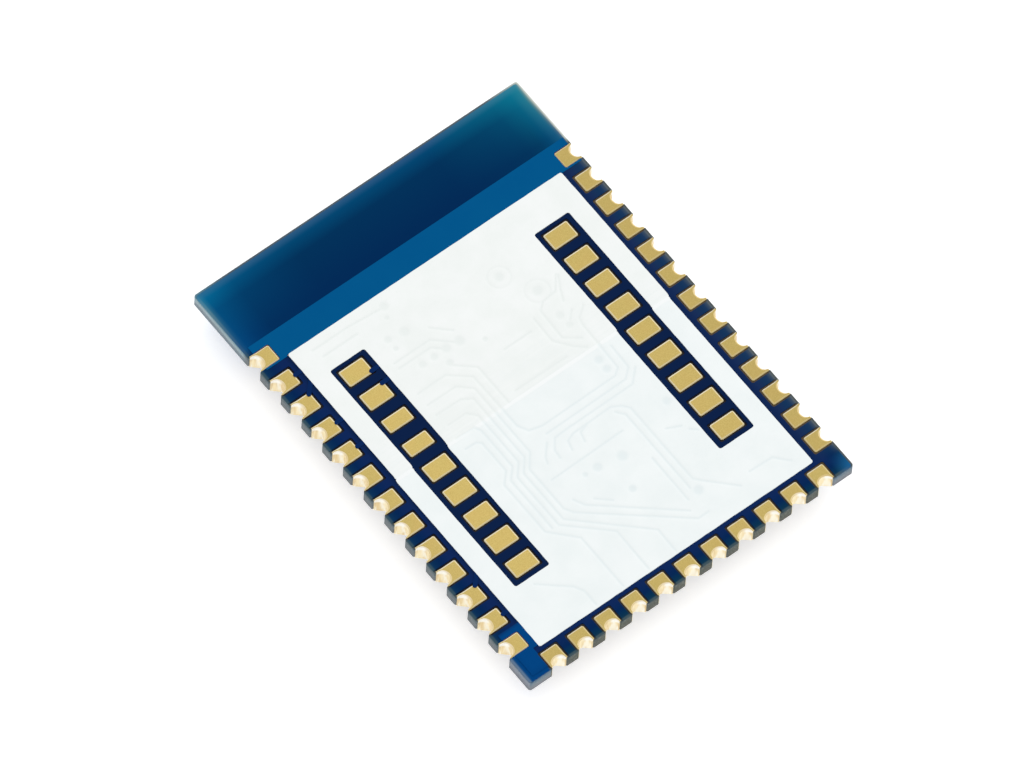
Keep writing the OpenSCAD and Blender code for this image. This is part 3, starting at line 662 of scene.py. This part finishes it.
def rim_reach(points, side):
    """Outward directions at an outline's points, and how far in each point's rim reaches."""
    edge = np.roll(points, -1, 0) - points
    ahead = edge / np.linalg.norm(edge, axis=1)[:, None]
    outward = side * np.stack([ahead[:, 1], -ahead[:, 0]], 1)
    before = np.roll(outward, 1, 0)
    bend = (outward + before) / np.maximum(1 + (outward * before).sum(1), 0.5)[:, None]
    inward = -bend / np.linalg.norm(bend, axis=1)[:, None]
    cross = lambda a, b: a[..., 0] * b[..., 1] - a[..., 1] * b[..., 0]
    gap = points[None] - points[:, None]
    with np.errstate(divide="ignore", invalid="ignore"):
        turn = cross(inward[:, None], edge[None])
        far = cross(gap, edge[None]) / turn
        share = cross(gap, inward[:, None]) / turn
    width = np.where((far > ITSELF) & (share >= 0) & (share <= 1), far, np.inf).min(1)
    length = np.linalg.norm(edge, axis=1)
    shorter = np.minimum(length, np.roll(length, 1))
    half_turn = np.maximum(side * cross(np.roll(ahead, 1, 0), ahead), 0) / (1 + (outward * before).sum(1))
    reach = np.minimum(np.minimum(RIM, RIM_SHARE * width), RIM_BEND * shorter / np.maximum(half_turn, 0.01))
    count = len(reach)
    for k in list(range(count)) * 2:
        after = (k + 1) % count
        reach[after] = min(reach[after], reach[k] + RIM_GROWTH * length[k])
    for k in list(range(count))[::-1] * 2:
        after = (k + 1) % count
        reach[k] = min(reach[k], reach[after] + RIM_GROWTH * length[k])
    return bend, reach


def round_rims(shape, level, side):
    """Rounds the rims of the faces at a height, which look up (side 1) or down (side -1)."""
    split_outlines(shape, level)
    faces, rings = level_faces(shape, level)
    bmesh.ops.delete(shape, geom=faces, context="FACES")
    for ring in rings:
        points = np.array([vert.co[:2] for vert in ring])
        bend, reach = rim_reach(points, side)
        rows = [ring]
        for step in range(1, RIM_STEPS + 1):
            angle = math.pi / 2 * step / RIM_STEPS
            plan = points - bend * (reach * (1 - math.cos(angle)))[:, None]
            height = level - side * RIM_FALL * reach * (1 - math.sin(angle))
            rows.append([shape.verts.new((*at, z)) for at, z in zip(plan, height)])
        for vert, z in zip(ring, level - side * RIM_FALL * reach):
            vert.co.z = z
        for lower, upper in zip(rows, rows[1:]):
            for a, b, c, d in zip(lower, lower[1:] + lower[:1], upper[1:] + upper[:1], upper):
                shape.faces.new((a, b, c, d))
        shape.faces.new(rows[-1])


def flare(shape, node, across, sign, depth, full):
    """Leans the barrels' feet outward on the flank of each half hole that plating fills, towards
    higher (full 1) or lower (full -1) coordinates along the row."""
    along = 1 - across
    low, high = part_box(node)
    middle = (low[along] + high[along]) / 2
    edge = (board_high if sign > 0 else board_low)[across]
    lips = (high if sign > 0 else low)[across]
    for vert in shape.verts:
        inward = sign * (edge - vert.co[across])
        off = (vert.co[along] - middle + PITCH / 2) % PITCH - PITCH / 2
        if math.hypot(off, inward - depth) < HOLE_REACH:
            share = min(max(full * off / FLARE_REACH + FLARE_START, 0), FLARE)
            vert.co[across] += share * (lips - vert.co[across]) * (high.z - vert.co.z) / (high.z - low.z)


def plated(node, row=None):
    """A pad node's plating. A row of half holes also gives its axis across, its side, the holes'
    depth inside the edge and the flank that is filled."""
    solid = NODES[node].data
    shape = bmesh.new()
    points = [shape.verts.new(vert.co) for vert in solid.vertices]
    for face in solid.polygons:
        shape.faces.new([points[k] for k in face.vertices])
    bmesh.ops.remove_doubles(shape, verts=shape.verts, dist=WELD)
    low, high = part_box(node)
    if row:
        flare(shape, node, *row)
        round_rims(shape, low.z, -1)
    round_rims(shape, high.z, 1)
    mesh = bpy.data.meshes.new(node + "_plating")
    shape.to_mesh(mesh)
    shape.free()
    mesh.set_sharp_from_angle(angle=EDGE_TURN)
    mesh.polygons.foreach_set("use_smooth", [abs(face.normal.z) < LEVEL for face in mesh.polygons])
    piece = new_piece(node + "_plating", mesh, gold)
    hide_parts(node)


plated("castellations_left", (0, -1, art_x, 1))
plated("castellations_right", (0, 1, -art_x, -1))
plated("castellations_end", (1, -1, art_y, 1))
plated("inner_pads_left")
plated("inner_pads_right")


# White legend: the ink sinks a little along the gaps in the copper under it

INK_CELL = 0.05 * MM
INK_FOOT = legend_low.z
MASK_TOP = mask_high.z
PASS_STEP = 0.03 * MM
WINDOW_MARGIN = 0.27 * MM
WINDOW_DROP = 0.035 * MM
WINDOW_WIDER = 0.035 * MM  # the right window's extra width, towards the middle
HEAD_ROOM = 0.05 * MM  # how far the print stops short of the block's upper end
CORNER = 0.1 * MM
KINK = 0.2 * MM
GAP_REACH = 0.065 * MM
RELIEF_REACH = 0.2 * MM  # the relief fades out over this, towards the ink's edge
OVERLAP_RAMP = 0.03 * MM
GRAIN_RISE = 0.0015 * MM
GRAIN_SIZE = 0.4 * MM
EDGE_FALL = 0.004 * MM
EDGE_REACH = 0.06 * MM
SKIRT = (0.03 * MM, 0.08 * MM)  # inside its edge, the ink's underside climbs onto the mask between these
INK_TURN = math.radians(50)  # faces that turn by more meet in an edge
RAGGED = 0.014 * MM
RAGGED_SIZE = 0.3 * MM

# Courses of the gaps in the artwork, in millimetres
GAPS = (
    ((-6.4, 6.5), (-4.5, 6.5), (-2.8, 6.35)),
    ((-6.2, 6.0), (-4.4, 6.0)),
    ((-4.0, 3.92), (-2.1, 3.92), (-1.2, 3.1)),
    ((-4.0, 3.6), (-2.3, 3.6), (-1.75, 3.13)),
    ((-1.75, 4.4), (-1.0, 3.68)),
    ((-4.1, 2.16), (-2.6, 2.18), (-1.7, 1.41), (-1.66, -1.58), (-1.4, -2.06), (-0.8, -2.22), (3.16, -2.18),
     (3.5, -1.94), (3.58, 0.62), (3.65, 0.93), (4.2, 1.34)),
    ((-2.05, 2.36), (-1.25, 1.65), (-1.25, -0.45)),
    ((-4.1, 1.48), (-2.6, 1.48), (-2.0, 0.93), (-2.0, -2.9)),
    ((-4.1, 0.88), (-2.8, 0.86), (-2.34, 0.57), (-2.34, -2.95)),
    ((-4.0, 0.2), (-3.05, 0.2), (-2.68, -0.2), (-2.68, -2.98)),
    ((-4.1, -0.5), (-3.2, -0.55), (-3.02, -0.85), (-3.02, -3.0)),
    ((-4.1, -1.15), (-3.55, -1.17), (-3.37, -1.34), (-3.37, -3.0), (-3.85, -3.5), (-3.85, -6.3),
     (-2.8, -7.45), (-2.8, -10.4)),
    ((-3.02, -3.0), (-3.5, -3.5), (-3.5, -6.35)),
    ((-2.68, -2.98), (-3.18, -3.55), (-3.18, -6.4), (-1.4, -8.1), (-1.42, -10.4)),
    ((-2.34, -2.95), (-2.85, -3.55), (-2.85, -6.3), (0.05, -9.1), (0.02, -10.4)),
    ((-2.0, -2.9), (-2.53, -3.55), (-2.53, -5.9), (-2.3, -6.3), (1.75, -9.7), (2.3, -9.7)),
    ((-1.95, -5.8), (-1.7, -6.3), (1.7, -9.2)),
    ((-1.2, -6.3), (-0.6, -6.85)),
    ((-1.15, -2.98), (-1.63, -3.5), (-1.75, -3.8)),
    ((0.2, -2.95), (-0.74, -3.0), (-1.1, -3.45), (-1.15, -3.9)),
    ((0.0, -3.3), (-0.38, -3.45), (-0.5, -3.9)),
    ((0.75, -3.3), (0.3, -3.45), (0.18, -3.9)),
    ((-0.9, -2.63), (3.4, -2.58), (3.87, -2.18), (3.92, -0.93)),
    ((-0.2, -2.97), (3.5, -2.94), (4.1, -2.37)),
    ((0.0, -3.3), (2.08, -3.25), (2.5, -3.5), (2.73, -3.8), (2.73, -8.05), (3.04, -8.4), (4.16, -9.55)),
    ((2.08, -3.56), (2.37, -3.92), (2.37, -8.35)),
    ((-2.1, -4.52), (1.77, -4.45)),
    ((1.98, -6.25), (1.96, -8.75)),
    ((-5.76, -8.0), (-4.5, -9.1), (-4.26, -9.55), (-4.26, -10.4)),
    ((4.88, -9.23), (6.07, -9.28), (6.63, -9.9)),
    ((3.63, 2.56), (2.92, 2.5), (2.54, 2.18), (2.49, 0.62), (3.15, 0.1)),
    ((3.63, 2.56), (4.16, 3.2)),
    ((3.63, 2.0), (3.92, 2.6), (4.23, 3.13)),
    ((3.28, 1.1), (3.66, 1.46)),
    ((2.08, 2.06), (2.06, 0.74), (2.6, 0.02), (3.04, -0.38)),
    ((0.17, 1.65), (1.6, 1.65)),
    ((-0.67, -0.2), (2.08, -0.22)),
    ((3.32, -5.48), (3.92, -5.77)),
    ((4.1, -6.1), (4.5, -6.43)),
)
# Sunken vias in the artwork: centre and radius, in millimetres
VIAS = (
    (-2.65, 6.38, 0.24), (-2.9, 5.86, 0.12), (-3.5, 5.0, 0.2), (-2.7, 4.88, 0.26), (-3.5, 4.45, 0.14),
    (-3.06, 3.16, 0.2), (-2.44, 3.16, 0.2), (-1.77, 3.18, 0.24), (-1.1, 3.13, 0.28), (-2.08, 2.54, 0.2),
    (-0.17, 2.54, 0.14), (2.14, 4.54, 0.24), (3.04, 3.04, 0.26), (3.08, 1.53, 0.22), (3.13, 0.93, 0.18),
    (3.08, -1.15, 0.22), (3.08, -1.7, 0.22), (4.16, -4.45, 0.22), (1.03, -5.4, 0.28), (-0.16, -5.2, 0.24),
    (-0.79, -5.17, 0.14), (2.6, -8.63, 0.26), (0.4, -6.9, 0.2),
)
# Ring-shaped gaps in the artwork: centre and radius, in millimetres
RINGS = ((2.14, 4.54, 0.52), (3.04, 3.04, 0.56))


def soft_noise(x, y, size, seed):
    """Smooth noise between 0 and 1 over the plane, the same on every run."""
    table = np.random.default_rng(seed).random((128, 128))
    u, v = x / size, y / size
    i, j = np.floor(u).astype(int), np.floor(v).astype(int)
    fu, fv = u - i, v - j
    fu, fv = fu * fu * (3 - 2 * fu), fv * fv * (3 - 2 * fv)
    at = lambda p, q: table[p % 128, q % 128]
    low = at(i, j) * (1 - fu) + at(i + 1, j) * fu
    high = at(i, j + 1) * (1 - fu) + at(i + 1, j + 1) * fu
    return low * (1 - fv) + high * fv


def rise(value, low, high):
    t = np.clip((value - low) / (high - low), 0, 1)
    return t * t * (3 - 2 * t)


def box_distance(x, y, low, high, corner):
    """Signed distance to a rectangle with round corners, negative inside."""
    qx = np.abs(x - (low[0] + high[0]) / 2) - (high[0] - low[0]) / 2 + corner
    qy = np.abs(y - (low[1] + high[1]) / 2) - (high[1] - low[1]) / 2 + corner
    return np.hypot(np.maximum(qx, 0), np.maximum(qy, 0)) + np.minimum(np.maximum(qx, qy), 0) - corner


def windows_distance(x, y):
    wider = np.where(x > 0, WINDOW_WIDER, 0)
    low = (column_low.x - art_x - WINDOW_MARGIN - wider, column_low.y - art_y - WINDOW_MARGIN - WINDOW_DROP)
    high = (column_high.x - art_x + WINDOW_MARGIN, column_high.y - art_y + WINDOW_MARGIN - WINDOW_DROP)
    return box_distance(np.abs(x), y, low, high, CORNER)


def relief(x, y):
    """How far the ink sinks, from 0 to 1: deepest along the gaps and in the vias."""
    depth = np.zeros_like(x)
    for course in GAPS:
        for a, b in zip(course, course[1:]):
            ax, ay, bx, by = (v * MM for v in (*a, *b))
            along = ((x - ax) * (bx - ax) + (y - ay) * (by - ay)) / ((bx - ax) ** 2 + (by - ay) ** 2)
            along = np.clip(along, 0, 1)
            off = np.hypot(x - ax - along * (bx - ax), y - ay - along * (by - ay))
            depth = np.maximum(depth, np.exp(-(off / GAP_REACH) ** 2))
    for cx, cy, radius in VIAS:
        off = np.hypot(x - cx * MM, y - cy * MM) / (radius * MM)
        depth = np.maximum(depth, np.exp(-off ** 4))
    for cx, cy, radius in RINGS:
        off = np.abs(np.hypot(x - cx * MM, y - cy * MM) - radius * MM)
        depth = np.maximum(depth, 0.6 * np.exp(-(off / GAP_REACH) ** 2))
    return depth


def cut_cells(x, y, inside):
    """Faces of a grid where the field is negative, with the cells on its border cut along it.
    Returns the points' x and y, the faces, and the border's edges in the faces' order."""
    number = np.full(x.shape, -1)
    keep = inside < 0
    number[keep] = np.arange(keep.sum())
    px, py = list(x[keep]), list(y[keep])
    full = keep[:-1, :-1] & keep[:-1, 1:] & keep[1:, 1:] & keep[1:, :-1]
    i, j = np.nonzero(full)
    faces = np.stack([number[i, j], number[i, j + 1], number[i + 1, j + 1], number[i + 1, j]], 1).tolist()
    some = keep[:-1, :-1] | keep[:-1, 1:] | keep[1:, 1:] | keep[1:, :-1]
    crossings = {}

    def crossing(p, q):
        key = (p, q) if p < q else (q, p)
        if key not in crossings:
            share = inside[p] / (inside[p] - inside[q])
            crossings[key] = len(px)
            px.append(x[p] + share * (x[q] - x[p]))
            py.append(y[p] + share * (y[q] - y[p]))
        return crossings[key]

    border = []
    for i, j in zip(*np.nonzero(some & ~full)):
        ring = [(i, j), (i, j + 1), (i + 1, j + 1), (i + 1, j)]
        face, ends = [], []
        for p, q in zip(ring, ring[1:] + ring[:1]):
            if keep[p]:
                face.append(int(number[p]))
            if keep[p] != keep[q]:
                face.append(crossing(p, q))
                ends.append((face[-1], bool(keep[p])))
        faces.append(face)
        for k, (at, leaving) in enumerate(ends):
            if leaving:
                border.append((at, ends[(k + 1) % len(ends)][0]))
    return np.array(px), np.array(py), faces, border


def shift(y):
    """How far the print lies to the side: the two passes meet in a short kink at the seam."""
    return PASS_STEP * (2 * rise(y, SEAM[1] - KINK, SEAM[1] + KINK) - 1)


def ink_pass(name, low_y, high_y, seed):
    """One print pass of the legend, as a closed sheet, worked out in the artwork's own coordinates."""
    low = (legend_low.x - art_x + PASS_STEP, legend_low.y - art_y)
    high = (legend_high.x - art_x - PASS_STEP, legend_high.y - art_y - HEAD_ROOM)
    xs = np.arange(low[0] - 2 * INK_CELL, high[0] + 3 * INK_CELL, INK_CELL)
    ys = np.arange(low_y - INK_CELL, high_y + 2 * INK_CELL, INK_CELL)
    x, y = np.meshgrid(xs, ys)

    def inside(x, y):
        across = x - shift(y)
        return np.maximum(box_distance(across, y, low, high, CORNER), -windows_distance(across, y))

    ragged = inside(x, y) + RAGGED * soft_noise(x, y, RAGGED_SIZE, seed)
    px, py, faces, border = cut_cells(x, y, np.maximum(ragged, np.maximum(low_y - y, y - high_y)))
    inset = -inside(px, py)
    top = INK_TOP - RELIEF * relief(px, py) * rise(inset, 0, RELIEF_REACH)
    top -= EDGE_FALL * (1 - rise(inset, 0, EDGE_REACH))
    overlap = rise(py, SEAM[0] - OVERLAP_RAMP, SEAM[0]) * (1 - rise(py, SEAM[1], SEAM[1] + OVERLAP_RAMP))
    top += OVERLAP_RISE * overlap
    top += GRAIN_RISE * (soft_noise(px, py, GRAIN_SIZE, seed + 7) - 0.5)
    across = px - shift(py)
    skirt = np.minimum(np.minimum(across - low[0], high[0] - across),
                       np.minimum(py - low[1], windows_distance(across, py)))
    foot = INK_FOOT + (MASK_TOP - INK_FOOT) * rise(skirt, *SKIRT)
    count = len(px)
    px, py = px + art_x, py + art_y
    points = np.concatenate([np.stack([px, py, top], 1), np.stack([px, py, foot], 1)])
    under = [[v + count for v in reversed(face)] for face in faces]
    walls = [[b, a, a + count, b + count] for a, b in border]
    mesh = bpy.data.meshes.new(name)
    mesh.from_pydata(points.tolist(), [], faces + under + walls)
    mesh.polygons.foreach_set("use_smooth", np.ones(len(mesh.polygons), dtype=bool))
    mesh.set_sharp_from_angle(angle=INK_TURN)
    piece = new_piece(name, mesh, legend)
    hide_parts("legend_ink")


ink_pass("legend_lower_pass", legend_low.y - art_y, SEAM[1], 11)
ink_pass("legend_upper_pass", SEAM[1], legend_high.y - art_y, 12)


# Stage: pale floor, soft light

FLOOR_SIDE = 2.0
FLOOR_TONE = (0.9, 0.9, 0.9, 1)
FLOOR_ROUGH = 0.9
FLOOR_GLOW = 0.46
WHITE = (1, 1, 1, 1)
WORLD_STRENGTH = 0.86
KEY_POWER = 0.6
KEY_SIZE = 0.25
KEY_DISTANCE = 0.5
KEY_FROM = Vector((0.75, 0.35, 0.55))


def floor():
    mesh = bpy.data.meshes.new("floor")
    half = FLOOR_SIDE / 2
    corners = [(-half, -half, 0), (half, -half, 0), (half, half, 0), (-half, half, 0)]
    mesh.from_pydata(corners, [], [(0, 1, 2, 3)])
    made = bpy.data.objects.new("floor", mesh)
    bpy.context.scene.collection.objects.link(made)
    finish, tree, shader = material("floor_white")
    shader.inputs["Base Color"].default_value = FLOOR_TONE
    shader.inputs["Roughness"].default_value = FLOOR_ROUGH
    shader.inputs["Specular IOR Level"].default_value = 0.0
    shader.inputs["Emission Color"].default_value = WHITE
    shader.inputs["Emission Strength"].default_value = FLOOR_GLOW
    # seen from below, the floor is clear
    clear = add(tree, "ShaderNodeBsdfTransparent").outputs[0]
    behind = add(tree, "ShaderNodeNewGeometry").outputs["Backfacing"]
    both = add(tree, "ShaderNodeMixShader", {0: behind, 1: shader.outputs[0], 2: clear})
    tree.links.new(both.outputs[0], tree.nodes["Material Output"].inputs["Surface"])
    mesh.materials.append(finish)


def world():
    made = bpy.data.worlds.new("studio")
    made.use_nodes = True
    ground = made.node_tree.nodes["Background"]
    ground.inputs["Color"].default_value = WHITE
    ground.inputs["Strength"].default_value = WORLD_STRENGTH
    bpy.context.scene.world = made


def softbox(name, direction, distance, size, power):
    data = bpy.data.lights.new(name, "AREA")
    data.shape = "SQUARE"
    data.size = size
    data.energy = power
    made = bpy.data.objects.new(name, data)
    made.location = direction.normalized() * distance
    made.rotation_euler = direction.to_track_quat("Z", "Y").to_euler()
    bpy.context.scene.collection.objects.link(made)


floor()
world()
softbox("key", KEY_FROM, KEY_DISTANCE, KEY_SIZE, KEY_POWER)
bpy.context.scene.view_settings.view_transform = "Standard"
